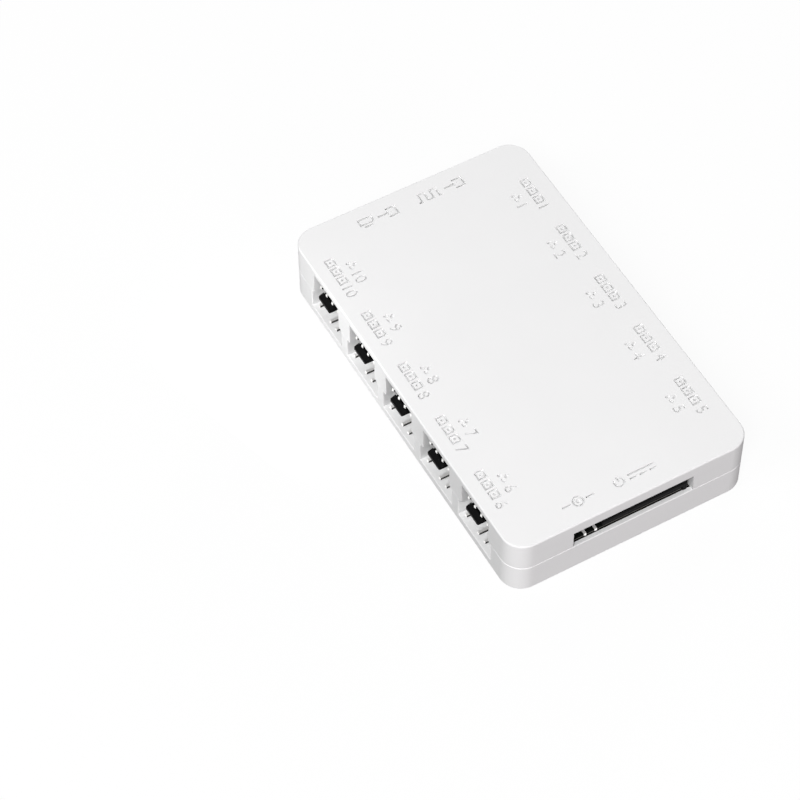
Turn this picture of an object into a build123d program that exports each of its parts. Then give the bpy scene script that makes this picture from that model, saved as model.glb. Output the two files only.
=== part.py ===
from build123d import *
import os

# Fan and light controller hub, in millimetres.
# X is the width, Y the length and Z the height. The origin is the middle of the underside.
# The power end is at -Y and the input end at +Y. Ports line both long sides.

# Case. Its length follows from the row of ports, and its height from what it holds.
case_width = 58.0
end_land = 8.0
room_above_board = 6.4
room_below_board = 4.0
corner_radius = 5.0
top_edge_radius = 0.4
bottom_edge_radius = 0.3
parting_edge_chamfer = 0.15
top_plate = 1.5
floor_plate = 2.0
end_wall = 2.0
board_lip = 1.0

# Port openings in the long sides
ports_per_side = 5
port_pitch = 16.0
port_row_shift = -0.45
upper_divider = 5.0
lower_divider = 2.6
port_depth = 5.7
divider_skin = 1.2
divider_core_roof = 1.6

# Slots in the two ends of the cover, each as wide as its connectors and the room beside them
slot_head_room = 0.2
key_side_room = 1.96
power_side_room = 0.8
two_pin_side_room = 1.4
three_pin_side_room = 1.75
slot_cheek = 1.2
slot_cheek_depth = 6.0

# Circuit board
board_thickness = 1.6
board_corner_radius = 1.0
board_end_gap = 0.5
board_side_gap = 0.3
board_post_radius = 2.0
board_post_x = 10.0
board_post_y = 24.0

# Screws that close the case, and their bosses in its corners
screw_side_inset = 3.2
screw_end_inset = 4.4
screw_shank_radius = 0.95
screw_pilot_clearance = 0.05
screw_passage_clearance = 0.3
screw_head_radius = 2.0
screw_head_height = 1.6
screw_head_clearance = 0.3
screw_head_sink = 0.6
screw_bite = 3.6
screw_pilot_room = 0.6
screw_drive_span = 2.2
screw_drive_width = 0.6
screw_drive_depth = 0.8

# Pin headers with a 2.54 mm pitch
pin_pitch = 2.54
pin_side = 0.64
pin_tip_chamfer = 0.18
pin_bend_bevel = 0.3
pin_hole_clearance = 0.1
hole_sides = 8
tail_gap = 0.3
strip_notch = 0.4

# Fan headers, on top of the board
fan_pin_count = 4
fan_pin_lift = 3.15
fan_tip_inset = 0.7
fan_pin_reach = 7.6
fan_base_depth = 3.2
fan_base_rise = 1.6
fan_tail_below_board = 1.2
lock_tab_width = 5.0
lock_tab_thickness = 0.8
lock_tab_lift = 0.05
lock_tab_inset = 0.05
lock_tab_corner = 0.3
lock_tab_place = 1
lock_ridge_inset = 0.3
lock_ridge_run = 1.1
lock_ridge_height = 0.45

# Light headers, under the board
light_places = (0, 2, 3)
light_place_count = 4
light_tip_inset = 0.1
light_pin_reach = 6.0
light_base_side = 2.54
light_foot_length = 1.3

# Power plug with flat blades, near end
power_plug_center = 3.3
power_plug_end = 1.51
power_plug_height = 4.4
power_block_front = 5.6
power_block_depth = 3.5
power_tongue_inset = 0.7
power_tongue_lift = 2.2
power_tongue_thickness = 1.2
power_tongue_bevel = 0.3
power_key_width = 1.2
power_key_clearance = 0.3
blade_count = 15
blade_pitch = 1.27
blade_width = 0.8
blade_thickness = 0.2
blade_front_inset = 0.8
blade_foot_length = 1.4

# Two-pin key header, beside the power plug
key_header_gap = 0.36
key_pin_count = 2
key_tip_inset = 0.6
key_pin_reach = 6.0
key_base_side = 2.54
key_tail_below_board = 1.2

# Shrouded inputs with a 2 mm pitch, far end
input_pitch = 2.0
input_pin_side = 0.5
input_pin_lift = 2.3
input_pin_recess = 1.4
input_shroud_inset = 0.15
input_shroud_depth = 7.4
input_shroud_height = 4.6
input_shroud_wall = 0.6
input_shroud_end = 1.95
input_shroud_back = 1.4
input_roof_setback = 3.0
input_cheek_height = 3.4
three_pin_input_center = 6.2
input_gap = 1.25
input_tail_below_board = 1.2

# Parts on the board, each with its size and its place on the board
controller_size = (7.0, 7.0, 0.9)
controller_place = (0.0, 8.0)
buffer_size = (5.0, 4.0, 1.5)
buffer_place = (0.0, 24.0)
fuse_size = (4.5, 3.2, 1.0)
fuse_x = 4.0
fuse_gap = 4.5
capacitor_radius = 3.15
capacitor_head_room = 1.0
capacitor_foot = 0.8
capacitor_chamfer = 0.8
capacitor_places = ((-4.0, -14.0), (4.0, -14.0))

# Sizes that follow from those above
cut_margin = 1.0
case_length = ports_per_side * port_pitch + 2 * end_land
half_width = case_width / 2
half_length = case_length / 2
board_bottom = floor_plate + room_below_board
board_top = board_bottom + board_thickness
parting_height = board_top
plate_underside = board_top + room_above_board
case_height = plate_underside + top_plate
inner_half_width = half_width - port_depth
inner_half_length = half_length - end_wall
board_half_width = inner_half_width - board_side_gap
board_half_length = half_length - board_lip - board_end_gap
upper_port_width = port_pitch - upper_divider
lower_port_width = port_pitch - lower_divider
slot_top = board_top + input_shroud_height + slot_head_room
power_half_width = (blade_count - 1) * blade_pitch / 2 + power_plug_end
power_left = power_plug_center - power_half_width
power_right = power_plug_center + power_half_width
key_half_width = key_pin_count * pin_pitch / 2
key_header_center = power_left - key_header_gap - key_half_width
three_pin_half_width = input_pitch + input_shroud_end
two_pin_half_width = input_pitch / 2 + input_shroud_end
two_pin_input_center = three_pin_input_center - three_pin_half_width - input_gap - two_pin_half_width


def block(x_low, x_high, y_low, y_high, z_low, z_high):
    middle = Pos((x_low + x_high) / 2, (y_low + y_high) / 2, (z_low + z_high) / 2)
    return middle * Box(x_high - x_low, y_high - y_low, z_high - z_low)


def upright(radius, x, y, z_low, z_high):
    return Pos(x, y, (z_low + z_high) / 2) * Cylinder(radius, z_high - z_low)


def four_places(x, y):
    return [(sign_x * x, sign_y * y) for sign_x in (-1, 1) for sign_y in (-1, 1)]


def port_places():
    # Ports 1 to 5 run from the far end on +X, and 6 to 10 come back on -X.
    # A port is drawn facing -X, so those on +X are turned half round.
    places = {}
    for index in range(ports_per_side):
        y = port_row_shift + ((ports_per_side - 1) / 2 - index) * port_pitch
        places[index + 1] = Location((0, y, 0), (0, 0, 180))
        places[2 * ports_per_side - index] = Location((0, y, 0))
    return places


def pin_row(count, pitch):
    # The first place is at the left for someone who faces the row.
    return [((count - 1) / 2 - index) * pitch for index in range(count)]


def even_strip(plane, outline, width):
    # A strip or wire of even width, from its outline in the plane that halves that width.
    return extrude(make_face(plane * Polyline(*outline, close=True)), width / 2, both=True)


def pointed(wire, tip):
    # Bevels the four edges round the end face nearest to the tip.
    tip_face = wire.faces().sort_by_distance(tip)[0]
    return chamfer(tip_face.edges(), pin_tip_chamfer)


def bent_pin(plane, side, tip, tail, level, tail_end):
    # A square wire that runs level from its tip to its tail and then down through the board.
    half = side / 2
    out = half if tail > tip else -half
    bevel = pin_bend_bevel if tail > tip else -pin_bend_bevel
    outline = [
        (tip, level - half),
        (tail - out, level - half),
        (tail - out, tail_end),
        (tail + out, tail_end),
        (tail + out, level + half - pin_bend_bevel),
        (tail + out - bevel, level + half),
        (tip, level + half),
    ]
    return pointed(even_strip(plane, outline, side), plane.from_local_coords((tip, level, 0)))


port_location = port_places()
screw_places = four_places(half_width - screw_side_inset, half_length - screw_end_inset)
post_places = four_places(board_post_x, board_post_y)
screw_seat = screw_head_sink + screw_head_height
screw_end = parting_height + screw_bite


def pin_strip(plane, count, side, depth):
    # A strip of eight-sided pin places, seen along its pins in the plane that halves its depth.
    half = side / 2
    flat = pin_pitch / 2 - strip_notch
    lower_edge = []
    for place in sorted(pin_row(count, pin_pitch)):
        lower_edge.append((place - pin_pitch / 2, -half + strip_notch))
        lower_edge.append((place - flat, -half))
        lower_edge.append((place + flat, -half))
    lower_edge.append((count * pin_pitch / 2, -half + strip_notch))
    upper_edge = [(across, -up) for across, up in reversed(lower_edge)]
    return extrude(make_face(plane * Polyline(*lower_edge, *upper_edge, close=True)), depth / 2, both=True)


def case_prism(z_low, z_high):
    outline = RectangleRounded(case_width, case_length, corner_radius)
    return extrude(Pos(0, 0, z_low) * outline, z_high - z_low)


def port_opening(width, z_low, z_high):
    return block(
        -half_width - cut_margin,
        -inner_half_width + cut_margin,
        -width / 2,
        width / 2,
        z_low,
        z_high,
    )


def divider_cores():
    # Blind pockets that keep the walls of the cover's dividers even.
    core_width = upper_divider - 2 * divider_skin
    core_depth = port_depth - 2 * divider_skin
    core_top = plate_underside - divider_core_roof
    x_middle = half_width - port_depth / 2
    cores = []
    for index in range(ports_per_side - 1):
        y_middle = port_row_shift + ((ports_per_side - 2) / 2 - index) * port_pitch
        for sign in (-1, 1):
            core = Box(core_depth, core_width, core_top - parting_height + cut_margin)
            z_middle = (core_top + parting_height - cut_margin) / 2
            cores.append(Pos(sign * x_middle, y_middle, z_middle) * core)
    return cores


def slot_parts(left, right, end_sign):
    # The cutter of one end slot, and the two cheeks that guide a plug into it.
    outside = end_sign * (half_length + cut_margin)
    inside = end_sign * (inner_half_length - cut_margin)
    y_low, y_high = sorted((outside, inside))
    cutter = block(left, right, y_low, y_high, parting_height - cut_margin, slot_top)
    y_low, y_high = sorted((end_sign * inner_half_length, end_sign * (half_length - slot_cheek_depth)))
    cheeks = []
    for x_low in (left - slot_cheek, right):
        cheeks.append(block(x_low, x_low + slot_cheek, y_low, y_high, parting_height, plate_underside))
    return cutter, cheeks


def make_upper_cover():
    shell = case_prism(parting_height, case_height)
    shell = fillet(shell.edges().group_by(Axis.Z)[-1], top_edge_radius)
    shell = chamfer(shell.edges().group_by(Axis.Z)[0], parting_edge_chamfer)
    cuts = [
        block(
            -inner_half_width,
            inner_half_width,
            -inner_half_length,
            inner_half_length,
            parting_height - cut_margin,
            plate_underside,
        )
    ]
    opening = port_opening(upper_port_width, parting_height - cut_margin, plate_underside)
    cuts += [place * opening for place in port_location.values()]
    cuts += divider_cores()
    pilot_end = screw_end + screw_pilot_room
    pilot_radius = screw_shank_radius + screw_pilot_clearance
    cuts += [upright(pilot_radius, x, y, parting_height - cut_margin, pilot_end) for x, y in screw_places]
    power_slot_left = key_header_center - key_half_width - key_side_room
    power_slot_right = power_right + power_side_room
    power_cut, power_cheeks = slot_parts(power_slot_left, power_slot_right, -1)
    input_slot_left = two_pin_input_center - two_pin_half_width - two_pin_side_room
    input_slot_right = three_pin_input_center + three_pin_half_width + three_pin_side_room
    input_cut, input_cheeks = slot_parts(input_slot_left, input_slot_right, 1)
    cuts += [power_cut, input_cut]
    posts = [upright(board_post_radius, x, y, board_top, plate_underside) for x, y in post_places]
    return (shell - cuts) + power_cheeks + input_cheeks + posts


def make_lower_case():
    shell = case_prism(0, parting_height)
    shell = fillet(shell.edges().group_by(Axis.Z)[0], bottom_edge_radius)
    shell = chamfer(shell.edges().group_by(Axis.Z)[-1], parting_edge_chamfer)
    cuts = [
        block(
            -inner_half_width,
            inner_half_width,
            -inner_half_length,
            inner_half_length,
            floor_plate,
            parting_height + cut_margin,
        )
    ]
    # The rebate that the two ends of the board rest in
    rebate_half_length = half_length - board_lip
    cuts.append(
        block(
            -inner_half_width,
            inner_half_width,
            -rebate_half_length,
            rebate_half_length,
            board_bottom,
            parting_height + cut_margin,
        )
    )
    opening = port_opening(lower_port_width, floor_plate, parting_height + cut_margin)
    cuts += [place * opening for place in port_location.values()]
    recess_radius = screw_head_radius + screw_head_clearance
    passage_radius = screw_shank_radius + screw_passage_clearance
    for x, y in screw_places:
        cuts.append(upright(recess_radius, x, y, -cut_margin, screw_seat))
        cuts.append(upright(passage_radius, x, y, 0, parting_height + cut_margin))
    posts = [upright(board_post_radius, x, y, floor_plate, board_bottom) for x, y in post_places]
    return (shell - cuts) + posts


def make_case_screws():
    screw = Pos(0, 0, screw_seat - screw_head_height / 2) * Cylinder(screw_head_radius, screw_head_height)
    screw += upright(screw_shank_radius, 0, 0, screw_seat, screw_end)
    drive_top = screw_seat - screw_head_height + screw_drive_depth
    for span_x, span_y in ((screw_drive_span, screw_drive_width), (screw_drive_width, screw_drive_span)):
        screw -= block(-span_x / 2, span_x / 2, -span_y / 2, span_y / 2, 0, drive_top)
    return Compound(children=[Pos(x, y, 0) * screw for x, y in screw_places])


# Fan header, drawn for a port that faces -X
fan_tip_x = -half_width + fan_tip_inset
fan_base_front = fan_tip_x + fan_pin_reach
fan_base_back = fan_base_front + fan_base_depth
fan_tail_x = fan_base_back + tail_gap + pin_side / 2
fan_pin_z = board_top + fan_pin_lift


def make_fan_pins():
    tail_end = board_bottom - fan_tail_below_board
    pin = bent_pin(Plane.XZ, pin_side, fan_tip_x, fan_tail_x, fan_pin_z, tail_end)
    return [Pos(0, y, 0) * pin for y in pin_row(fan_pin_count, pin_pitch)]


def make_fan_header(pins):
    half_row = fan_pin_count * pin_pitch / 2
    base_top = fan_pin_z + fan_base_rise
    base = block(fan_base_front, fan_base_back, -half_row, half_row, board_top, base_top)
    tab_tip = -half_width + lock_tab_inset
    tab_bottom = board_top + lock_tab_lift
    tab_top = tab_bottom + lock_tab_thickness
    # A plug rides up the slope of the ridge and snaps in behind its steep side.
    ridge_front = tab_tip + lock_ridge_inset
    ridge_back = ridge_front + lock_ridge_run
    outline = [
        (tab_tip, tab_bottom),
        (fan_base_front, tab_bottom),
        (fan_base_front, tab_top),
        (ridge_back, tab_top),
        (ridge_back, tab_top + lock_ridge_height),
        (ridge_front, tab_top),
        (tab_tip, tab_top),
    ]
    tab = even_strip(Plane.XZ, outline, lock_tab_width)
    tab = fillet(tab.edges().filter_by(Axis.Z).group_by(Axis.X)[0], lock_tab_corner)
    tab_y = pin_row(fan_pin_count, pin_pitch)[lock_tab_place]
    return base + Pos(0, tab_y, 0) * tab - pins


# Light header, drawn for a port that faces -X
light_tip_x = -half_width + light_tip_inset
light_base_front = light_tip_x + light_pin_reach
light_base_back = light_base_front + light_base_side
light_pin_z = board_bottom - light_base_side / 2


def make_light_pins():
    # Each pin leaves the back of its base, steps up to the board and ends in a flat foot.
    riser = light_base_back + tail_gap
    half = pin_side / 2
    outline = [
        (light_tip_x, light_pin_z - half),
        (riser + pin_side, light_pin_z - half),
        (riser + pin_side, board_bottom - pin_side),
        (riser + pin_side + light_foot_length, board_bottom - pin_side),
        (riser + pin_side + light_foot_length, board_bottom),
        (riser, board_bottom),
        (riser, light_pin_z + half),
        (light_tip_x, light_pin_z + half),
    ]
    pin = pointed(even_strip(Plane.XZ, outline, pin_side), (light_tip_x, 0, light_pin_z))
    row = pin_row(light_place_count, pin_pitch)
    return [Pos(0, row[place], 0) * pin for place in light_places]


def make_light_header(pins):
    middle = Pos((light_base_front + light_base_back) / 2, 0, light_pin_z)
    return middle * pin_strip(Plane.YZ, light_place_count, light_base_side, light_base_side) - pins


# Power plug, near end
power_block_y = -half_length + power_block_front
power_tongue_y = -half_length + power_tongue_inset
power_block_back = power_block_y + power_block_depth
power_tongue_bottom = board_top + power_tongue_lift - power_tongue_thickness / 2
blade_riser_y = power_block_back + tail_gap
blade_foot_end = blade_riser_y + blade_thickness + blade_foot_length


def make_power_blades():
    # Flat contacts let into the underside of the tongue, which end in feet on the board.
    bottom = power_tongue_bottom
    outline = [
        (power_tongue_y + blade_front_inset, bottom),
        (blade_riser_y, bottom),
        (blade_riser_y, board_top),
        (blade_foot_end, board_top),
        (blade_foot_end, board_top + blade_thickness),
        (blade_riser_y + blade_thickness, board_top + blade_thickness),
        (blade_riser_y + blade_thickness, bottom + blade_thickness),
        (power_tongue_y + blade_front_inset, bottom + blade_thickness),
    ]
    blade = even_strip(Plane.YZ, outline, blade_width)
    return [Pos(power_plug_center + x, 0, 0) * blade for x in pin_row(blade_count, blade_pitch)]


def make_power_body(blades):
    block_top = board_top + power_plug_height
    body = block(power_left, power_right, power_block_y, power_block_back, board_top, block_top)
    tongue_top = power_tongue_bottom + power_tongue_thickness
    tongue = block(power_left, power_right, power_tongue_y, power_block_y, power_tongue_bottom, tongue_top)
    key_bottom = board_top + power_key_clearance
    key_left = power_right - power_key_width
    tongue += block(key_left, power_right, power_tongue_y, power_block_y, key_bottom, power_tongue_bottom)
    # The tip is bevelled along its top and down both its sides.
    tip_edges = tongue.edges().group_by(Axis.Y)[0]
    side_edges = tip_edges.filter_by(Axis.Z).sort_by(Axis.X)
    top_edge = tip_edges.filter_by(Axis.X).sort_by(Axis.Z)[-1]
    tongue = chamfer([side_edges[0], top_edge, side_edges[-1]], power_tongue_bevel)
    return body + tongue - blades


# Two-pin key header, near end
key_tip_y = -half_length + key_tip_inset
key_base_front = key_tip_y + key_pin_reach
key_base_back = key_base_front + key_base_side
key_tail_y = key_base_back + tail_gap + pin_side / 2
key_pin_z = board_top + key_base_side / 2


def make_key_pins():
    tail_end = board_bottom - key_tail_below_board
    pin = bent_pin(Plane.YZ, pin_side, key_tip_y, key_tail_y, key_pin_z, tail_end)
    return [Pos(key_header_center + x, 0, 0) * pin for x in pin_row(key_pin_count, pin_pitch)]


def make_key_header(pins):
    middle = Pos(key_header_center, (key_base_front + key_base_back) / 2, key_pin_z)
    return middle * pin_strip(Plane.XZ, key_pin_count, key_base_side, key_base_side) - pins


# Shrouded inputs, far end
input_front = half_length - input_shroud_inset
input_back = input_front - input_shroud_depth
input_tail_y = input_back - tail_gap - input_pin_side / 2
input_pin_z = board_top + input_pin_lift
input_rows = ((three_pin_input_center, 3), (two_pin_input_center, 2))


def make_input_pins(center, count):
    tail_end = board_bottom - input_tail_below_board
    tip_y = input_front - input_pin_recess
    pin = bent_pin(Plane.YZ, input_pin_side, tip_y, input_tail_y, input_pin_z, tail_end)
    return [Pos(center + x, 0, 0) * pin for x in pin_row(count, input_pitch)]


def make_input_shroud(center, count, pins):
    half_size = (count - 1) * input_pitch / 2 + input_shroud_end
    top = board_top + input_shroud_height
    shroud = block(center - half_size, center + half_size, input_back, input_front, board_top, top)
    shroud -= block(
        center - half_size + input_shroud_wall,
        center + half_size - input_shroud_wall,
        input_back + input_shroud_back,
        input_front + cut_margin,
        board_top + input_shroud_wall,
        top - input_shroud_wall,
    )
    # The front of the shroud has a floor and two low cheeks, and no roof.
    shroud -= block(
        center - half_size - cut_margin,
        center + half_size + cut_margin,
        input_front - input_roof_setback,
        input_front + cut_margin,
        board_top + input_cheek_height,
        top + cut_margin,
    )
    return shroud - pins


def pin_hole(side, x, y):
    # The hole clears the corners of a square pin.
    radius = side / 2**0.5 + pin_hole_clearance
    outline = Pos(x, y, board_bottom - cut_margin) * RegularPolygon(radius, hole_sides)
    return extrude(outline, board_thickness + 2 * cut_margin)


def make_circuit_board():
    outline = RectangleRounded(2 * board_half_width, 2 * board_half_length, board_corner_radius)
    board = extrude(Pos(0, 0, board_bottom) * outline, board_thickness)
    holes = []
    for place in port_location.values():
        holes += [place * pin_hole(pin_side, fan_tail_x, y) for y in pin_row(fan_pin_count, pin_pitch)]
    for x in pin_row(key_pin_count, pin_pitch):
        holes.append(pin_hole(pin_side, key_header_center + x, key_tail_y))
    for center, count in input_rows:
        holes += [pin_hole(input_pin_side, center + x, input_tail_y) for x in pin_row(count, input_pitch)]
    return board - holes


def make_chip(size, place):
    x, y = place
    return Pos(x, y, board_top + size[2] / 2) * Box(*size)


def make_capacitors():
    side = 2 * capacitor_radius
    foot = Pos(0, 0, board_top + capacitor_foot / 2) * Box(side, side, capacitor_foot)
    foot = chamfer(foot.edges().filter_by(Axis.Z).group_by(Axis.Y)[-1], capacitor_chamfer)
    can = upright(capacitor_radius, 0, 0, board_top + capacitor_foot, plate_underside - capacitor_head_room)
    return Compound(children=[Pos(x, y, 0) * (foot + can) for x, y in capacitor_places])


def save(shape, name):
    export_step(shape, f"parts/{name}.step")


def save_group(shapes, name):
    save(Compound(children=list(shapes)), name)


os.makedirs("parts", exist_ok=True)
save(make_upper_cover(), "upper_cover")
save(make_lower_case(), "lower_case")
save(make_circuit_board(), "circuit_board")
save(make_case_screws(), "case_screws")

fan_pins = make_fan_pins()
fan_header = make_fan_header(fan_pins)
light_pins = make_light_pins()
light_header = make_light_header(light_pins)
for number, place in port_location.items():
    save(place * fan_header, f"fan_header_{number}")
    save_group([place * pin for pin in fan_pins], f"fan_pins_{number}")
    save(place * light_header, f"light_header_{number}")
    save_group([place * pin for pin in light_pins], f"light_pins_{number}")

power_blades = make_power_blades()
save(make_power_body(power_blades), "power_plug_body")
save_group(power_blades, "power_plug_blades")

key_pins = make_key_pins()
save(make_key_header(key_pins), "key_header_base")
save_group(key_pins, "key_header_pins")

for label, (center, count) in zip(("three", "two"), input_rows):
    input_pins = make_input_pins(center, count)
    save(make_input_shroud(center, count, input_pins), f"{label}_pin_input_shroud")
    save_group(input_pins, f"{label}_pin_input_pins")

save(make_chip(controller_size, controller_place), "controller_chip")
save(make_chip(buffer_size, buffer_place), "buffer_chip")
save(make_chip(fuse_size, (fuse_x, blade_foot_end + fuse_gap + fuse_size[1] / 2)), "power_fuse")
save(make_capacitors(), "bulk_capacitors")
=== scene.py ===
import math

import bmesh
import bpy
from mathutils import Matrix, Vector


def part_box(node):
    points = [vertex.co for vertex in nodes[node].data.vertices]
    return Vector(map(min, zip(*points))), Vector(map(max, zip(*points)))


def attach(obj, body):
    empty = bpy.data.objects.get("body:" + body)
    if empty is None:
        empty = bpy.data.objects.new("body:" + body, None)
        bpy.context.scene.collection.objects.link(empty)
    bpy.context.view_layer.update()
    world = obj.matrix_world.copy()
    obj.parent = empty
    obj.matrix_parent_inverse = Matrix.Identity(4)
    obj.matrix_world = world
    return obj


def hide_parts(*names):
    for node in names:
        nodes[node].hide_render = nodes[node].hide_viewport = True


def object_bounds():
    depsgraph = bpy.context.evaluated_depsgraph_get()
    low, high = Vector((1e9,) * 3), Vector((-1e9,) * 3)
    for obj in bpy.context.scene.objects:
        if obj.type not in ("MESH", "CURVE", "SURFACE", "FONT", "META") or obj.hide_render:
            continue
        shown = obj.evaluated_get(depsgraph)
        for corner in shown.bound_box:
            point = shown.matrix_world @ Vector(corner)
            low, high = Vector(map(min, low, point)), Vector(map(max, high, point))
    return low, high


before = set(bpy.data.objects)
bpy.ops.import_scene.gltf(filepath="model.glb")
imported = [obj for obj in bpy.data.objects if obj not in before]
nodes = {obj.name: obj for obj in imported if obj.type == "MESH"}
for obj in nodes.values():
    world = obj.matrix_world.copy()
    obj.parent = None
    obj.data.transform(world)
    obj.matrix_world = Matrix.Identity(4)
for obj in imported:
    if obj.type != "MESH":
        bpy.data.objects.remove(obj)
cadLow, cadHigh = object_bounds()
mm = 0.001
print("frame loaded with", len(nodes), "nodes")


# Shader maths: a Value is a socket that can be added, multiplied and so on

class Value:
    def __init__(self, paint, socket):
        self.paint = paint
        self.socket = socket

    def other(self, name):  # another output of the same node
        return Value(self.paint, self.socket.node.outputs[name])

    def math(self, operation, first, second):
        return self.paint.node("ShaderNodeMath", {"operation": operation}, {0: first, 1: second})

    def __add__(self, right):
        return self.math("ADD", self, right)

    def __radd__(self, left):
        return self.math("ADD", left, self)

    def __sub__(self, right):
        return self.math("SUBTRACT", self, right)

    def __rsub__(self, left):
        return self.math("SUBTRACT", left, self)

    def __mul__(self, right):
        return self.math("MULTIPLY", self, right)

    def __rmul__(self, left):
        return self.math("MULTIPLY", left, self)

    def __gt__(self, right):
        return self.math("GREATER_THAN", self, right)

    def __lt__(self, right):
        return self.math("LESS_THAN", self, right)

    def larger(self, right):
        return self.math("MAXIMUM", self, right)

    def ramp(self, low, high):  # 0 below low, 1 above high, smooth between
        settings = {"interpolation_type": "SMOOTHSTEP"}
        values = {"Value": self, "From Min": low, "From Max": high}
        return self.paint.node("ShaderNodeMapRange", settings, values)


noiseKinds = {"cloud": (2.0, 0.5), "grain": (3.0, 0.6)}  # detail and roughness
sideLimits = (0.6, 0.9)  # how squarely a face points along an axis, squared, before it counts as that side


class Paint:
    def __init__(self, owner):  # a material or a world
        owner.use_nodes = True
        self.tree = owner.node_tree
        self.tree.nodes.clear()

    def node(self, kind, settings=None, values=None):  # settings first, then values or links
        made = self.tree.nodes.new(kind)
        for name, setting in (settings or {}).items():
            setattr(made, name, setting)
        for name, value in (values or {}).items():
            if isinstance(value, Value):
                self.tree.links.new(value.socket, made.inputs[name])
            else:
                made.inputs[name].default_value = value
        return Value(self, made.outputs[0]) if made.outputs else None

    def place(self):  # Object coordinates, in metres in the shared frame
        return self.node("ShaderNodeTexCoord").other("Object")

    def axes(self, vector):
        parts = self.node("ShaderNodeSeparateXYZ", None, {"Vector": vector})
        return parts, parts.other("Y"), parts.other("Z")

    def facing(self, axis):  # 1 on the two sides that face along X, Y or Z
        way = self.axes(self.node("ShaderNodeTexCoord").other("Normal"))[axis]
        return (way * way).ramp(*sideLimits)

    def distance(self, place, point):
        settings = {"operation": "DISTANCE"}
        return self.node("ShaderNodeVectorMath", settings, {0: place, 1: point}).other("Value")

    def noise(self, place, scale, kind="cloud"):
        detail, roughness = noiseKinds[kind]
        values = {"Vector": place, "Scale": scale, "Detail": detail, "Roughness": roughness}
        return self.node("ShaderNodeTexNoise", None, values)

    def stretched(self, place, scale):
        return self.node("ShaderNodeMapping", None, {"Vector": place, "Scale": scale})

    def blend(self, factor, first, second):  # from the first colour to the second
        first, second = (c if isinstance(c, Value) else (*c, 1.0) for c in (first, second))
        values = {0: factor, 6: first, 7: second}  # 6 and 7 are the node's colour inputs
        return self.node("ShaderNodeMix", {"data_type": "RGBA"}, values).other(2)  # 2 is its colour

    def bump(self, height, strength, distance):
        values = {"Height": height, "Strength": strength, "Distance": distance}
        return self.node("ShaderNodeBump", None, values)

    def seen(self):  # 1 for rays from the camera, a mirror or glass
        rays = self.node("ShaderNodeLightPath")
        return rays.larger(rays.other("Is Glossy Ray")).larger(rays.other("Is Transmission Ray"))

    def surface(self, values):
        shader = self.node("ShaderNodeBsdfPrincipled", None, values)
        self.node("ShaderNodeOutputMaterial", None, {"Surface": shader})


def newPaint(name):
    material = bpy.data.materials.new(name)
    return material, Paint(material)


# Camera, at the photograph's viewing angle

cameraSet = {
    "eye": (-208.06, -325.32, 514.01),  # mm from the middle of the underside
    "azimuth": -28.919,  # degrees, seen from the power end
    "elevation": 53.523,
    "roll": -0.594,
    "focal": 2955.1,  # pixels, in an image of imageSide
    "imageSide": 800,
    "sensor": 36.0,
    "clip": (0.01, 20.0),  # metres
}


def makeCamera(settings):
    azimuth, elevation, roll = (math.radians(settings[k]) for k in ("azimuth", "elevation", "roll"))
    level = Vector((math.sin(azimuth), -math.cos(azimuth), 0.0))
    back = math.cos(elevation) * level + math.sin(elevation) * Vector((0.0, 0.0, 1.0))
    right = Vector((math.cos(azimuth), math.sin(azimuth), 0.0))
    up = back.cross(right)
    turnedRight = math.cos(roll) * right + math.sin(roll) * up
    turnedUp = math.cos(roll) * up - math.sin(roll) * right
    data = bpy.data.cameras.new("camera")
    data.sensor_width = settings["sensor"]
    data.lens = settings["focal"] * settings["sensor"] / settings["imageSide"]
    data.clip_start, data.clip_end = settings["clip"]
    camera = bpy.data.objects.new("camera", data)
    bpy.context.scene.collection.objects.link(camera)
    turn = Matrix((turnedRight, turnedUp, back)).transposed().to_4x4()
    camera.matrix_world = Matrix.Translation(Vector(settings["eye"]) * mm) @ turn
    bpy.context.scene.camera = camera


makeCamera(cameraSet)
print("camera placed")


# Making, softening and cutting pieces

def linkPiece(name, data):
    piece = bpy.data.objects.new(name, data)
    bpy.context.scene.collection.objects.link(piece)
    return piece


def meshPiece(name, bm):
    mesh = bpy.data.meshes.new(name)
    bm.to_mesh(mesh)
    bm.free()
    return linkPiece(name, mesh)


def pieceName(node):
    first, *rest = node.split("_")
    return first + "".join(word.capitalize() for word in rest)


def softCopy(node, settings, crispLevel=None):  # a node's shape with the small rounds that a mould leaves
    bm = bmesh.new()
    bm.from_mesh(nodes[node].data)
    bmesh.ops.remove_doubles(bm, verts=bm.verts, dist=settings["mergeDistance"] * mm)
    flat = math.radians(settings["flatAngle"])
    bmesh.ops.dissolve_limit(bm, angle_limit=flat, verts=bm.verts, edges=bm.edges)
    sharp = math.radians(settings["sharpAngle"])
    edges = [e for e in bm.edges if e.is_manifold and e.is_convex]
    edges = [e for e in edges if e.calc_face_angle() > sharp]
    edges = [e for e in edges if e.calc_length() > settings["shortEdge"] * mm]
    if crispLevel is not None:  # edges that lie at this height stay as they are
        near = settings["mergeDistance"] * mm
        edges = [e for e in edges if max(abs(v.co.z - crispLevel) for v in e.verts) > near]
    bmesh.ops.bevel(
        bm,
        geom=edges,
        offset=settings["softEdge"] * mm,
        offset_type="OFFSET",
        segments=settings["softSegments"],
        profile=0.5,
        affect="EDGES",
        clamp_overlap=True,
        material=-1,
    )
    return meshPiece(pieceName(node), bm)


def smoothFaces(piece, settings):
    piece.data.shade_smooth()
    piece.data.set_sharp_from_angle(angle=math.radians(settings["creaseAngle"]))
    even = piece.modifiers.new("evenNormals", "WEIGHTED_NORMAL")
    even.keep_sharp = True


def appliedMesh(piece):  # what the piece's modifiers make of it
    bpy.context.view_layer.update()
    return bpy.data.meshes.new_from_object(piece.evaluated_get(bpy.context.evaluated_depsgraph_get()))


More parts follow.
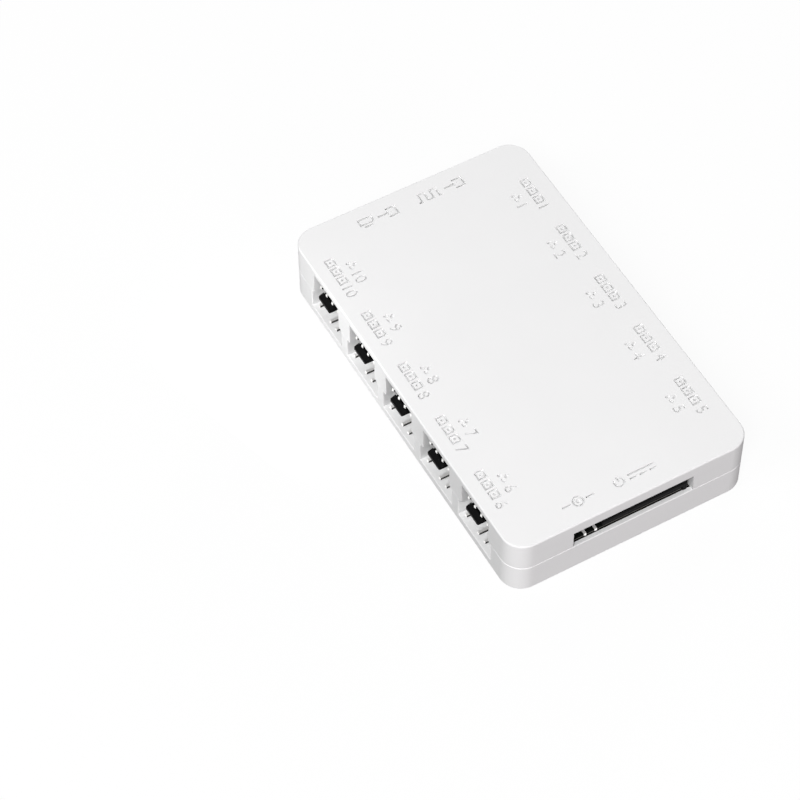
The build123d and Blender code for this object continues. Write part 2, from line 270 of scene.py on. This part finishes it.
def cutAway(piece, cutter):
    cut = piece.modifiers.new("cut", "BOOLEAN")
    cut.operation = "DIFFERENCE"
    cut.solver = "EXACT"
    cut.object = cutter
    mesh = appliedMesh(piece)
    piece.modifiers.clear()
    piece.data = mesh
    bpy.data.objects.remove(cutter)


def standFor(piece, node):
    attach(piece, "root")
    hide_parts(node)


# Case shells: the two moulded halves with softened edges

shellSet = {
    "softEdge": 0.14,  # mm
    "softSegments": 2,
    "shortEdge": 1.0,  # mm, edges shorter than this stay as they are
    "sharpAngle": 60.0,  # degrees, edges flatter than this stay as they are
    "flatAngle": 0.5,
    "creaseAngle": 24.0,
    "mergeDistance": 0.002,  # mm
}

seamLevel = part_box("lower_case")[1][2]  # where the halves meet, with crisp edges
upperCover = softCopy("upper_cover", shellSet, seamLevel)
lowerCase = softCopy("lower_case", shellSet, seamLevel)
print("case shells copied:", len(upperCover.data.polygons), "and", len(lowerCase.data.polygons), "faces")


# Marks cut into the cover: a pictogram and a number for each header

markSet = {
    "stroke": 0.42,  # mm
    "depth": 0.55,
    "tall": 2.7,  # height of a line of marks
    "gap": 0.95,  # between the signs of a line
    "ports": 5,  # on each side
    "portPitch": 16.0,
    "rowMiddle": 0.3,  # along Y, middle of the third port's marks
    "lightRows": {-1: -26.15, 1: 22.55},  # along X, foot of each line on the two sides
    "fanRows": {-1: -22.45, 1: 18.5},
    "nearFoot": -44.5,  # along Y, feet of the lines at the two ends
    "farFoot": 41.9,
    "buttonMiddle": -10.75,  # along X
    "powerMiddle": 2.8,
    "computerMiddle": -9.4,
    "pulseMiddle": 6.3,
    "above": 0.3,  # how far the cutter stands out of the cover
    "mergeDistance": 0.0005,
}

# A sign is its width, its strokes (points, closed) and its filled outlines, in mm from its foot
signSet = {
    "fan": {"petals": 3, "reach": 0.76, "twist": 0.75, "long": 0.62, "short": 0.36},
    "lights": {"count": 3, "side": 2.3, "gap": 0.45, "dot": 0.32},
    "button": {"lead": 2.1, "gap": 0.4, "dot": 0.5},
    "power": {"radius": 1.1, "drop": 0.1, "start": 130, "end": 410, "step": 14},
    "current": {"width": 6.6, "line": 1.85, "dashes": 0.8, "dash": 1.8, "gap": 0.6, "count": 3},
    "screen": {"width": 3.7, "stand": 0.75, "foot": 0.8},
    "inward": {"width": 4.9, "mouth": 2.4, "neck": 2.3, "tip": 3.5, "barb": 0.66},
    "pulse": {"width": 1.45, "lead": 0.8, "turns": 4},
}


def ringPoints(x, y, long, short, turn=0.0, steps=20):
    points = []
    for k in range(steps):
        angle = 2 * math.pi * k / steps
        spot = Matrix.Rotation(turn, 2) @ Vector((long * math.cos(angle), short * math.sin(angle)))
        points.append((x + spot.x, y + spot.y))
    return points


def framePoints(x, y, width, height):  # the middle line of a frame with these outer sides
    half = markSet["stroke"] / 2
    left, right, low, high = x + half, x + width - half, y + half, y + height - half
    return [(left, low), (right, low), (right, high), (left, high)]


def fanSign(shape):
    middle = markSet["tall"] / 2
    petals = []
    for k in range(shape["petals"]):
        angle = math.pi / 2 + 2 * math.pi * k / shape["petals"]
        x, y = (middle + shape["reach"] * side for side in (math.cos(angle), math.sin(angle)))
        petals.append(ringPoints(x, y, shape["long"], shape["short"], angle + shape["twist"]))
    return markSet["tall"], [], petals


def lightsSign(shape):
    side, pitch = shape["side"], shape["side"] + shape["gap"]
    foot = (markSet["tall"] - side) / 2
    squares, dots = [], []
    for k in range(shape["count"]):
        squares.append((framePoints(k * pitch, foot, side, side), True))
        dots.append(ringPoints(k * pitch + side / 2, foot + side / 2, shape["dot"], shape["dot"]))
    return shape["count"] * pitch - shape["gap"], squares, dots


def buttonSign(shape):  # a round button between two wires
    middle, radius = markSet["tall"] / 2, (markSet["tall"] - markSet["stroke"]) / 2
    ringStart = shape["lead"] + shape["gap"]
    ringMiddle = ringStart + middle
    width = 2 * ringMiddle
    ring = ringPoints(ringMiddle, middle, radius, radius)
    wires = [[(0.0, middle), (shape["lead"], middle)], [(width - shape["lead"], middle), (width, middle)]]
    strokes = [(ring, True)] + [(wire, False) for wire in wires]
    return width, strokes, [ringPoints(ringMiddle, middle, shape["dot"], shape["dot"])]


def powerSign(shape):
    middle = markSet["tall"] / 2
    turns = [math.radians(a) for a in range(shape["start"], shape["end"] + 1, shape["step"])]
    radius, low = shape["radius"], middle - shape["drop"]
    ring = [(middle + radius * math.cos(a), low + radius * math.sin(a)) for a in turns]
    bar = [(middle, middle + shape["drop"]), (middle, markSet["tall"])]
    return markSet["tall"], [(ring, False), (bar, False)], []


def currentSign(shape):
    strokes = [([(0.0, shape["line"]), (shape["width"], shape["line"])], False)]
    for k in range(shape["count"]):
        x = k * (shape["dash"] + shape["gap"])
        strokes.append(([(x, shape["dashes"]), (x + shape["dash"], shape["dashes"])], False))
    return shape["width"], strokes, []


def screenSign(shape):
    width, low = shape["width"], markSet["stroke"] / 2
    screen = framePoints(0.0, shape["stand"], width, markSet["tall"] - shape["stand"])
    foot = [(shape["foot"], low), (width - shape["foot"], low)]
    return width, [(screen, True), (foot, False)], []


def inwardSign(shape):
    tall, half = markSet["tall"], markSet["stroke"] / 2
    middle, back = tall / 2, shape["width"] - half
    bracket = [(shape["mouth"], tall - half), (back, tall - half), (back, half), (shape["mouth"], half)]
    neck = [(0.0, middle + half), (shape["neck"], middle + half), (shape["neck"], middle + shape["barb"])]
    arrow = neck + [(shape["tip"], middle)] + [(x, tall - y) for x, y in reversed(neck)]
    return shape["width"], [(bracket, False)], [arrow]


def pulseSign(shape):
    levels = (markSet["stroke"] / 2, markSet["tall"] - markSet["stroke"] / 2)
    line = [(0.0, levels[0])]
    for k in range(shape["turns"]):
        x = shape["lead"] + k * shape["width"]
        line += [(x, levels[k % 2]), (x, levels[1 - k % 2])]
    line.append((line[-1][0] + shape["lead"], levels[0]))
    return line[-1][0], [(line, False)], []


numberSet = {
    "curveSteps": 4,
    "mergeDistance": 0.001,  # of the letters' own size
}


def numberMesh(digits, tall):  # flat, from its lower left corner, with its width
    curve = bpy.data.curves.new("number", "FONT")
    curve.body = digits
    curve.fill_mode = "NONE"
    curve.resolution_u = numberSet["curveSteps"]
    text = linkPiece("number", curve)
    bm = bmesh.new()
    bm.from_mesh(appliedMesh(text))
    bpy.data.objects.remove(text)
    bmesh.ops.remove_doubles(bm, verts=bm.verts, dist=numberSet["mergeDistance"])
    bmesh.ops.triangle_fill(bm, edges=bm.edges[:], use_beauty=True)
    low = [min(v.co[k] for v in bm.verts) for k in range(2)]
    high = [max(v.co[k] for v in bm.verts) for k in range(2)]
    grow = tall / (high[1] - low[1])
    bmesh.ops.translate(bm, verts=bm.verts, vec=(-low[0], -low[1], 0.0))
    bmesh.ops.scale(bm, verts=bm.verts, vec=(grow, grow, 1.0))
    mesh = bpy.data.meshes.new("number")
    bm.to_mesh(mesh)
    bm.free()
    return mesh, (high[0] - low[0]) * grow


class MarkCutter:
    def __init__(self, settings, top):
        self.settings = settings
        self.foot = top - settings["depth"]
        self.strokes = bmesh.new()
        self.fills = bmesh.new()

    def corners(self, bm, points, spot):
        return [bm.verts.new(spot @ Vector((x, y, 0.0))) for x, y in points]

    def line(self, signs, digits, middle, foot, turned):  # one line of marks, centred
        gap, tall = self.settings["gap"], self.settings["tall"]
        number, numberWidth = numberMesh(digits, tall) if digits else (None, -gap)
        width = sum(sign[0] + gap for sign in signs) + numberWidth
        turn = Matrix.Rotation(math.radians(-90.0 if turned else 0.0), 4, "Z")
        place = (foot, middle, self.foot) if turned else (middle, foot, self.foot)
        spot = Matrix.Translation(place) @ turn @ Matrix.Translation((-width / 2, 0.0, 0.0))
        for signWidth, strokes, fills in signs:
            for points, closed in strokes:
                self.stroke(points, closed, spot)
            for outline in fills:
                self.fills.faces.new(self.corners(self.fills, outline, spot))
            spot = spot @ Matrix.Translation((signWidth + gap, 0.0, 0.0))
        if number:
            number.transform(spot)
            self.fills.from_mesh(number)

    def stroke(self, points, closed, spot):
        corners = self.corners(self.strokes, points, spot)
        for pair in zip(corners, corners[1:]):
            self.strokes.edges.new(pair)
        if closed:
            self.strokes.edges.new((corners[-1], corners[0]))

    def raised(self, bm, made):  # lifts what an extrude made to the cutter's top
        top = [v for v in made["geom"] if isinstance(v, bmesh.types.BMVert)]
        lift = self.settings["depth"] + self.settings["above"]
        bmesh.ops.translate(bm, verts=top, vec=(0.0, 0.0, lift))

    def widened(self):  # the strokes as upright ribbons of the stroke's width
        self.raised(self.strokes, bmesh.ops.extrude_edge_only(self.strokes, edges=self.strokes.edges))
        bmesh.ops.recalc_face_normals(self.strokes, faces=self.strokes.faces)
        ribbon = meshPiece("strokes", self.strokes)
        wide = ribbon.modifiers.new("wide", "SOLIDIFY")
        wide.thickness = self.settings["stroke"]
        wide.offset = 0.0
        wide.use_even_offset = True
        mesh = appliedMesh(ribbon)
        bpy.data.objects.remove(ribbon)
        return mesh

    def finish(self):  # one object with every mark, in metres
        bm = self.fills
        bmesh.ops.remove_doubles(bm, verts=bm.verts, dist=self.settings["mergeDistance"])
        self.raised(bm, bmesh.ops.extrude_face_region(bm, geom=bm.faces[:], use_keep_orig=True))
        bm.from_mesh(self.widened())
        bmesh.ops.recalc_face_normals(bm, faces=bm.faces)
        bmesh.ops.scale(bm, vec=(mm, mm, mm), verts=bm.verts)
        return meshPiece("marks", bm)


def cutMarks(cover, settings, shapes):
    cutter = MarkCutter(settings, cadHigh.z / mm)
    lights, fan = lightsSign(shapes["lights"]), fanSign(shapes["fan"])
    ports = settings["ports"]
    for side in (-1, 1):
        for k in range(ports):
            digits = str(k + 1 if side > 0 else 2 * ports - k)
            middle = settings["rowMiddle"] + ((ports - 1) / 2 - k) * settings["portPitch"]
            cutter.line([lights], digits, middle, settings["lightRows"][side], True)
            cutter.line([fan], digits, middle, settings["fanRows"][side], True)
    inward = inwardSign(shapes["inward"])
    near = {
        "buttonMiddle": [buttonSign(shapes["button"])],
        "powerMiddle": [powerSign(shapes["power"]), currentSign(shapes["current"])],
    }
    far = {
        "computerMiddle": [screenSign(shapes["screen"]), inward],
        "pulseMiddle": [pulseSign(shapes["pulse"]), inward],
    }
    for foot, lines in (("nearFoot", near), ("farFoot", far)):
        for middle, signs in lines.items():
            cutter.line(signs, None, settings[middle], settings[foot], False)
    cutAway(cover, cutter.finish())


cutMarks(upperCover, markSet, signSet)
for shell, node in ((upperCover, "upper_cover"), (lowerCase, "lower_case")):
    smoothFaces(shell, shellSet)
    standFor(shell, node)
print("marks cut:", len(upperCover.data.polygons), "faces on the cover")


# Connector housings and the circuit board, with softened outer edges

housingSet = {
    "softEdge": 0.04,
    "softSegments": 2,
    "shortEdge": 0.0,
    "sharpAngle": 40.0,
    "flatAngle": 0.5,
    "creaseAngle": 30.0,
    "mergeDistance": 0.002,
}
boardShape = {**housingSet, "softEdge": 0.14, "shortEdge": 1.0, "sharpAngle": 60.0}

softened = {"black_housing": housingSet, "board": boardShape}
housings = []
for node, solid in nodes.items():
    slot = solid.material_slots[0].material.name
    if slot in softened:
        housing = softCopy(node, softened[slot])
        smoothFaces(housing, softened[slot])
        standFor(housing, node)
        housings.append((housing, slot))
print("housings softened:", len(housings))


# Case screws, with a rounded head, a cross for the driver and a thread

screwSet = {
    "headRadius": 2.0,  # mm
    "headTall": 1.6,
    "crown": 0.75,  # height of the round at the head's rim
    "crownSteps": 5,
    "shank": 0.95,
    "root": 0.74,  # radius at the foot of the thread
    "threadPitch": 0.7,
    "tip": 0.55,
    "crossSpan": 2.2,
    "crossWidth": 0.6,
    "crossDepth": 0.8,
    "crossTaper": 0.6,
    "steps": 40,
    "creaseAngle": 35.0,  # degrees
    "mergeDistance": 0.002,  # mm
}


def screwProfile(settings, length):  # radius and height, from the middle of the head's face
    radius, crown = settings["headRadius"], settings["crown"]
    points = [(0.0, 0.0)]
    for k in range(settings["crownSteps"] + 1):
        angle = math.pi / 2 * k / settings["crownSteps"]
        points.append((radius - crown + crown * math.sin(angle), crown - crown * math.cos(angle)))
    points.append((radius, settings["headTall"]))
    points.append((settings["root"], settings["headTall"]))
    turns = int((length - settings["headTall"]) / settings["threadPitch"])
    for k in range(turns):
        height = settings["headTall"] + k * settings["threadPitch"]
        points.append((settings["shank"], height + settings["threadPitch"] / 2))
        points.append((settings["root"], height + settings["threadPitch"]))
    points.append((settings["tip"], length))
    points.append((0.0, length))
    return points


def screwMesh(settings, length):
    bm = bmesh.new()
    line = [bm.verts.new((radius, 0.0, height)) for radius, height in screwProfile(settings, length)]
    edges = [bm.edges.new(pair) for pair in zip(line, line[1:])]
    axis, middle = (0.0, 0.0, 1.0), (0.0, 0.0, 0.0)
    bmesh.ops.spin(
        bm,
        geom=line + edges,
        axis=axis,
        cent=middle,
        angle=2 * math.pi,
        steps=settings["steps"],
        use_merge=True,
    )
    bmesh.ops.remove_doubles(bm, verts=bm.verts, dist=settings["mergeDistance"])
    bmesh.ops.recalc_face_normals(bm, faces=bm.faces)
    return bm


def crossMesh(settings):  # the driver's cross, narrower towards its bottom
    bm = bmesh.new()
    width, depth = settings["crossWidth"], settings["crossDepth"]
    made = bmesh.ops.create_cube(bm, size=1.0)["verts"]
    bmesh.ops.scale(bm, verts=made, vec=(width, width, 2 * depth))
    sides = [f for f in bm.faces if abs(f.normal.z) < 0.5]
    for face in bmesh.ops.extrude_discrete_faces(bm, faces=sides)["faces"]:
        reach = face.normal * (settings["crossSpan"] - width) / 2
        bmesh.ops.translate(bm, verts=face.verts[:], vec=reach)
    bottom = [v for v in bm.verts if v.co.z > 0.0]
    bmesh.ops.scale(bm, verts=bottom, vec=(settings["crossTaper"], settings["crossTaper"], 1.0))
    return bm


def fourCopies(name, bm, reach, lift):  # one object with a copy at each corner, in metres
    single = bpy.data.meshes.new(name)
    bm.to_mesh(single)
    bm.free()
    group = bmesh.new()
    for x in (-reach.x, reach.x):
        for y in (-reach.y, reach.y):
            placed = single.copy()
            placed.transform(Matrix.Translation((x, y, lift)) @ Matrix.Scale(mm, 4))
            group.from_mesh(placed)
    return meshPiece(name, group)


def makeScrews(settings):
    low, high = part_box("case_screws")
    reach = Vector(high) - Vector((settings["headRadius"],) * 3) * mm
    length = (high[2] - low[2]) / mm
    screws = fourCopies("caseScrews", screwMesh(settings, length), reach, low[2])
    cutAway(screws, fourCopies("crosses", crossMesh(settings), reach, low[2]))
    smoothFaces(screws, settings)
    standFor(screws, "case_screws")
    return screws


caseScrews = makeScrews(screwSet)
print("screws made:", len(caseScrews.data.polygons), "faces")


# Finishes

whiteSet = {
    "light": (0.845, 0.845, 0.845),
    "dark": (0.82, 0.82, 0.822),
    "cloudScale": 70.0,  # per metre, as are all scales here
    "grainScale": 7000.0,
    "grainDepth": 0.02,  # mm
    "grainBump": 0.12,
    "roughness": 0.7,
    "spread": 0.12,
    "specular": 0.3,
}
blackSet = {
    "light": (0.0075, 0.0075, 0.0079),
    "dark": (0.0048, 0.0048, 0.0051),
    "cloudScale": 420.0,
    "grainScale": 5200.0,
    "grainDepth": 0.02,
    "grainBump": 0.2,
    "roughness": 0.42,
    "spread": 0.14,
    "specular": 0.03,
}


def mouldedPlastic(name, settings):  # a cloudy tone under the fine grain of the mould's wall
    material, paint = newPaint(name)
    place = paint.place()
    cloud = paint.noise(place, settings["cloudScale"])
    grain = paint.noise(place, settings["grainScale"], "grain")
    paint.surface({
        "Base Color": paint.blend(cloud, settings["dark"], settings["light"]),
        "Roughness": settings["roughness"] + (grain - 0.5) * settings["spread"],
        "Specular IOR Level": settings["specular"],
        "Normal": paint.bump(grain, settings["grainBump"], settings["grainDepth"] * mm),
    })
    return material


boardSet = {
    "mask": (0.004, 0.0048, 0.0044),
    "trace": (0.009, 0.0105, 0.0098),
    "edge": (0.012, 0.0115, 0.010),
    # painted highlight: a lighter colour along the top rim of the board's sawn edge
    "rim": (0.15, 0.147, 0.135),
    "rimTall": 0.28,  # mm
    "traceScale": 900.0,
    "traceWidth": 0.12,  # the width, length, pitch and offset are in a trace's own units
    "traceLength": 3.1,
    "tracePitch": 0.8,
    "traceOffset": 0.37,
    "traceDepth": 0.03,  # mm
    "traceBump": 0.3,
    "speckScale": 2500.0,
    "roughness": 0.32,
    "edgeRoughness": 0.2,  # more than on the faces
    "spread": 0.12,
    "specular": 0.05,
}


def boardFinish(settings):  # lacquer over square runs of copper, with a painted highlight: a lighter band along the top rim of the sawn edge
    material, paint = newPaint("boardLacquer")
    place = paint.place()
    runs = {
        "Vector": place,
        "Scale": settings["traceScale"],
        "Mortar Size": settings["traceWidth"],
        "Brick Width": settings["traceLength"],
        "Row Height": settings["tracePitch"],
    }
    trace = paint.node("ShaderNodeTexBrick", {"offset": settings["traceOffset"]}, runs).other("Fac")
    edge = 1.0 - paint.facing(2)
    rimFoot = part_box("circuit_board")[1][2] - settings["rimTall"] * mm
    # painted highlight: the top rim of the sawn edge is coloured lighter, standing in for the light that
    # edge catches
    paintedHighlightMask = edge * (paint.axes(place)[2] > rimFoot)
    lacquer = paint.blend(trace, settings["mask"], settings["trace"])
    sawn = paint.blend(edge, lacquer, settings["edge"])
    speck = paint.noise(place, settings["speckScale"])
    rough = settings["roughness"] + speck * settings["spread"]
    paint.surface({
        "Base Color": paint.blend(paintedHighlightMask, sawn, settings["rim"]),
        "Roughness": rough + edge * settings["edgeRoughness"],
        "Specular IOR Level": settings["specular"],
        "Normal": paint.bump(trace, settings["traceBump"], settings["traceDepth"] * mm),
    })
    return material


metalSet = {
    "goldBlade": {
        "light": (0.86, 0.65, 0.30),
        "dark": (0.78, 0.57, 0.24),
        "roughness": 0.26,
        "streak": (9000.0, 900.0, 9000.0),  # per metre along X, Y and Z
    },
    "screwSteel": {
        "light": (0.62, 0.62, 0.63),
        "dark": (0.48, 0.48, 0.49),
        "roughness": 0.34,
        "streak": (4000.0, 4000.0, 4000.0),
    },
    "spread": 0.16,
    "tarnishScale": 900.0,
    "grainBump": 0.12,
    "grainDepth": 0.02,  # mm
}


def metalFinish(name, settings):  # drawn or rolled metal with a little tarnish
    metal = settings[name]
    material, paint = newPaint(name)
    place = paint.place()
    drawn = paint.noise(paint.stretched(place, metal["streak"]), 1.0, "grain")
    tarnish = paint.noise(place, settings["tarnishScale"])
    paint.surface({
        "Base Color": paint.blend(tarnish, metal["dark"], metal["light"]),
        "Metallic": 1.0,
        "Roughness": metal["roughness"] + (drawn - 0.5) * settings["spread"],
        "Normal": paint.bump(drawn, settings["grainBump"], settings["grainDepth"] * mm),
    })
    return material


pinSet = {
    "tin": (0.95, 0.945, 0.93),
    "dull": (0.86, 0.855, 0.84),
    # painted dark reflection: a near-black colour on the two sides that face along one axis
    "sheared": (0.035, 0.033, 0.03),
    "shine": 0.45,  # how much of the tin reflects as bare metal
    "roughness": 0.38,
    "shearedRoughness": 0.45,
    "spread": 0.16,
    "tarnishScale": 900.0,
    "grainScale": 9000.0,
    "grainBump": 0.12,
    "grainDepth": 0.02,  # mm
}


def pinFinish(name, settings, sideways):  # matt tin, with the two sides that face along one axis painted near-black as a painted dark reflection
    material, paint = newPaint(name)
    place = paint.place()
    # painted dark reflection: the sides that face along the sideways axis are coloured near-black
    sheared = paint.facing(sideways)
    grain = paint.noise(place, settings["grainScale"], "grain")
    tarnish = paint.noise(place, settings["tarnishScale"])
    plated = paint.blend(tarnish, settings["dull"], settings["tin"])
    matt = settings["roughness"] + (grain - 0.5) * settings["spread"]
    paint.surface({
        "Base Color": paint.blend(sheared, plated, settings["sheared"]),
        "Metallic": settings["shine"] + sheared * (1.0 - settings["shine"]),
        "Roughness": matt + sheared * (settings["shearedRoughness"] - settings["roughness"]),
        "Normal": paint.bump(grain, settings["grainBump"], settings["grainDepth"] * mm),
    })
    return material


chipSet = {
    "body": (0.016, 0.016, 0.017),
    "dot": (0.06, 0.06, 0.06),
    "dotRadius": 0.35,  # mm
    "dotInset": 0.8,
    "dotShine": 0.15,  # how much less rough the dot is
    "grainScale": 9000.0,
    "grainDepth": 0.02,  # mm
    "grainBump": 0.25,
    "roughness": 0.55,
    "spread": 0.2,
}


def chipFinish(settings):  # matt moulded resin with a dot at the first lead
    material, paint = newPaint("chipResin")
    place = paint.place()
    grain = paint.noise(place, settings["grainScale"], "grain")
    radius, inset = settings["dotRadius"] * mm, settings["dotInset"] * mm
    dot = 0.0
    for node in ("controller_chip", "buffer_chip"):
        low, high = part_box(node)
        corner = (low[0] + inset, high[1] - inset, high[2])
        dot = dot + (paint.distance(place, corner) < radius)
    rough = settings["roughness"] + (grain - 0.5) * settings["spread"]
    paint.surface({
        "Base Color": paint.blend(dot, settings["body"], settings["dot"]),
        "Roughness": rough - dot * settings["dotShine"],
        "Normal": paint.bump(grain - dot, settings["grainBump"], settings["grainDepth"] * mm),
    })
    return material


fuseSet = {
    "body": (0.02, 0.05, 0.025),
    "end": (0.8, 0.79, 0.77),
    "endLength": 0.8,  # mm
    "endShine": 0.1,  # how much less rough the ends are
    "grainScale": 6000.0,
    "grainDepth": 0.02,  # mm
    "grainBump": 0.2,
    "roughness": 0.35,
    "spread": 0.15,
}


def fuseFinish(settings):  # a coated body between two tinned ends
    material, paint = newPaint("fuseCoat")
    place = paint.place()
    low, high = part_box("power_fuse")
    along = paint.axes(place)[0]
    end = (along < low[0] + settings["endLength"] * mm).larger(along > high[0] - settings["endLength"] * mm)
    grain = paint.noise(place, settings["grainScale"], "grain")
    rough = settings["roughness"] + grain * settings["spread"]
    paint.surface({
        "Base Color": paint.blend(end, settings["body"], settings["end"]),
        "Metallic": end,
        "Roughness": rough - end * settings["endShine"],
        "Normal": paint.bump(grain, settings["grainBump"], settings["grainDepth"] * mm),
    })
    return material


canSet = {
    "can": (0.75, 0.75, 0.76),
    "foot": (0.012, 0.012, 0.013),
    "mark": (0.02, 0.02, 0.022),
    "footTall": 0.8,  # mm
    "markInset": 1.6,  # how far the marked side reaches in
    "lidTall": 0.05,
    "grainScale": 3000.0,
    "grainDepth": 0.02,
    "grainBump": 0.1,
    "roughness": 0.28,
    "footRoughness": 0.15,  # more than on the can
    "spread": 0.12,
}


def canFinish(settings):  # drawn aluminium on a black foot, with one side of the lid marked
    material, paint = newPaint("capacitorCan")
    place = paint.place()
    low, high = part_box("bulk_capacitors")
    along, height = paint.axes(place)[1:]
    foot = height < low[2] + settings["footTall"] * mm
    lid = height > high[2] - settings["lidTall"] * mm
    mark = lid * (along < low[1] + settings["markInset"] * mm)
    grain = paint.noise(place, settings["grainScale"], "grain")
    marked = paint.blend(mark, settings["can"], settings["mark"])
    rough = settings["roughness"] + grain * settings["spread"]
    paint.surface({
        "Base Color": paint.blend(foot, marked, settings["foot"]),
        "Metallic": 1.0 - foot.larger(mark),
        "Roughness": rough + foot * settings["footRoughness"],
        "Normal": paint.bump(grain, settings["grainBump"], settings["grainDepth"] * mm),
    })
    return material


finishes = {
    "white_case": mouldedPlastic("whitePlastic", whiteSet),
    "black_housing": mouldedPlastic("blackPlastic", blackSet),
    "board": boardFinish(boardSet),
    "contact": pinFinish("portPins", pinSet, 1),
    "blade": metalFinish("goldBlade", metalSet),
    "screw": metalFinish("screwSteel", metalSet),
    "chip": chipFinish(chipSet),
    "fuse": fuseFinish(fuseSet),
    "capacitor": canFinish(canSet),
}


def dress(piece, material):
    piece.data.materials.clear()
    piece.data.materials.append(material)


for solid in nodes.values():
    holder = solid.material_slots[0]
    holder.material = finishes[holder.material.name]
endPins = pinFinish("endPins", pinSet, 0)  # pins along Y have their painted dark sides along X
for node in ("key_header_pins", "three_pin_input_pins", "two_pin_input_pins"):
    nodes[node].material_slots[0].material = endPins
for shell in (upperCover, lowerCase):
    dress(shell, finishes["white_case"])
for housing, slot in housings:
    dress(housing, finishes[slot])
dress(caseScrews, finishes["screw"])
print("finishes given to every piece:", ", ".join(finishes))


# Floor and light

stageSet = {
    "floorSize": 3.0,
    "whiteShare": 0.93,  # share of plain white in what the camera sees of the floor
    "paper": 0.9,
    "bounce": 0.08,  # what the floor sends back to the object
}


def grey(level):
    return (level, level, level, 1.0)


def makeFloor(settings):
    bm = bmesh.new()
    bmesh.ops.create_grid(bm, x_segments=1, y_segments=1, size=settings["floorSize"])
    floor = meshPiece("floor", bm)
    material, paint = newPaint("floorPaper")
    bounce = paint.node("ShaderNodeBsdfDiffuse", None, {"Color": grey(settings["bounce"])})
    paper = paint.node("ShaderNodeBsdfDiffuse", None, {"Color": grey(settings["paper"])})
    white = paint.node("ShaderNodeEmission", None, {"Color": grey(1.0), "Strength": 1.0})
    shown = paint.node("ShaderNodeMixShader", None, {0: settings["whiteShare"], 1: paper, 2: white})
    mixed = paint.node("ShaderNodeMixShader", None, {0: paint.seen(), 1: bounce, 2: shown})
    paint.node("ShaderNodeOutputMaterial", None, {"Surface": mixed})
    dress(floor, material)


def makeWorld():  # white where it is seen, and dark to the object
    world = bpy.data.worlds.new("studio")
    bpy.context.scene.world = world
    paint = Paint(world)
    sky = paint.node("ShaderNodeBackground", None, {"Color": grey(1.0), "Strength": paint.seen()})
    paint.node("ShaderNodeOutputWorld", None, {"Surface": sky})


caseMiddle, caseLeft = (0.0, 0.0, 0.008), (-0.029, 0.031, 0.009)  # what the lamps aim at
white, rose = (1.0, 1.0, 1.0), (1.0, 0.955, 0.975)
lamps = {
    "key": {"from": (-0.61, -0.61, 0.97), "aim": caseMiddle, "size": 0.4, "watts": 10.4, "tint": white},
    "left": {"from": (-1.0, -0.05, 0.82), "aim": caseMiddle, "size": 0.5, "watts": 6.4, "tint": white},
    "lowFront": {"from": (0.0, -1.2, 0.36), "aim": caseMiddle, "size": 0.5, "watts": 5.7, "tint": rose},
    "behind": {"from": (0.3, 0.9, 0.8), "aim": caseMiddle, "size": 1.0, "watts": 4.9, "tint": white},
    "lowBack": {"from": (0.95, 0.75, 0.16), "aim": caseMiddle, "size": 0.26, "watts": 6.6, "tint": white},
    "card": {"from": (-0.06, 0.022, 0.012), "aim": caseLeft, "size": 0.04, "watts": 0.007, "tint": white},
}


def makeLamp(name, settings):
    data = bpy.data.lights.new(name, "AREA")
    data.shape = "DISK"
    data.size = settings["size"]
    data.energy = settings["watts"]
    data.color = settings["tint"]
    lamp = bpy.data.objects.new(name, data)
    bpy.context.scene.collection.objects.link(lamp)
    place = Vector(settings["from"])
    lamp.location = place
    lamp.rotation_euler = (place - Vector(settings["aim"])).to_track_quat("Z", "Y").to_euler()


makeFloor(stageSet)
makeWorld()
for name, settings in lamps.items():
    makeLamp(name, settings)
bpy.context.scene.view_settings.view_transform = "Standard"
print("stage lit by", len(lamps), "lamps")
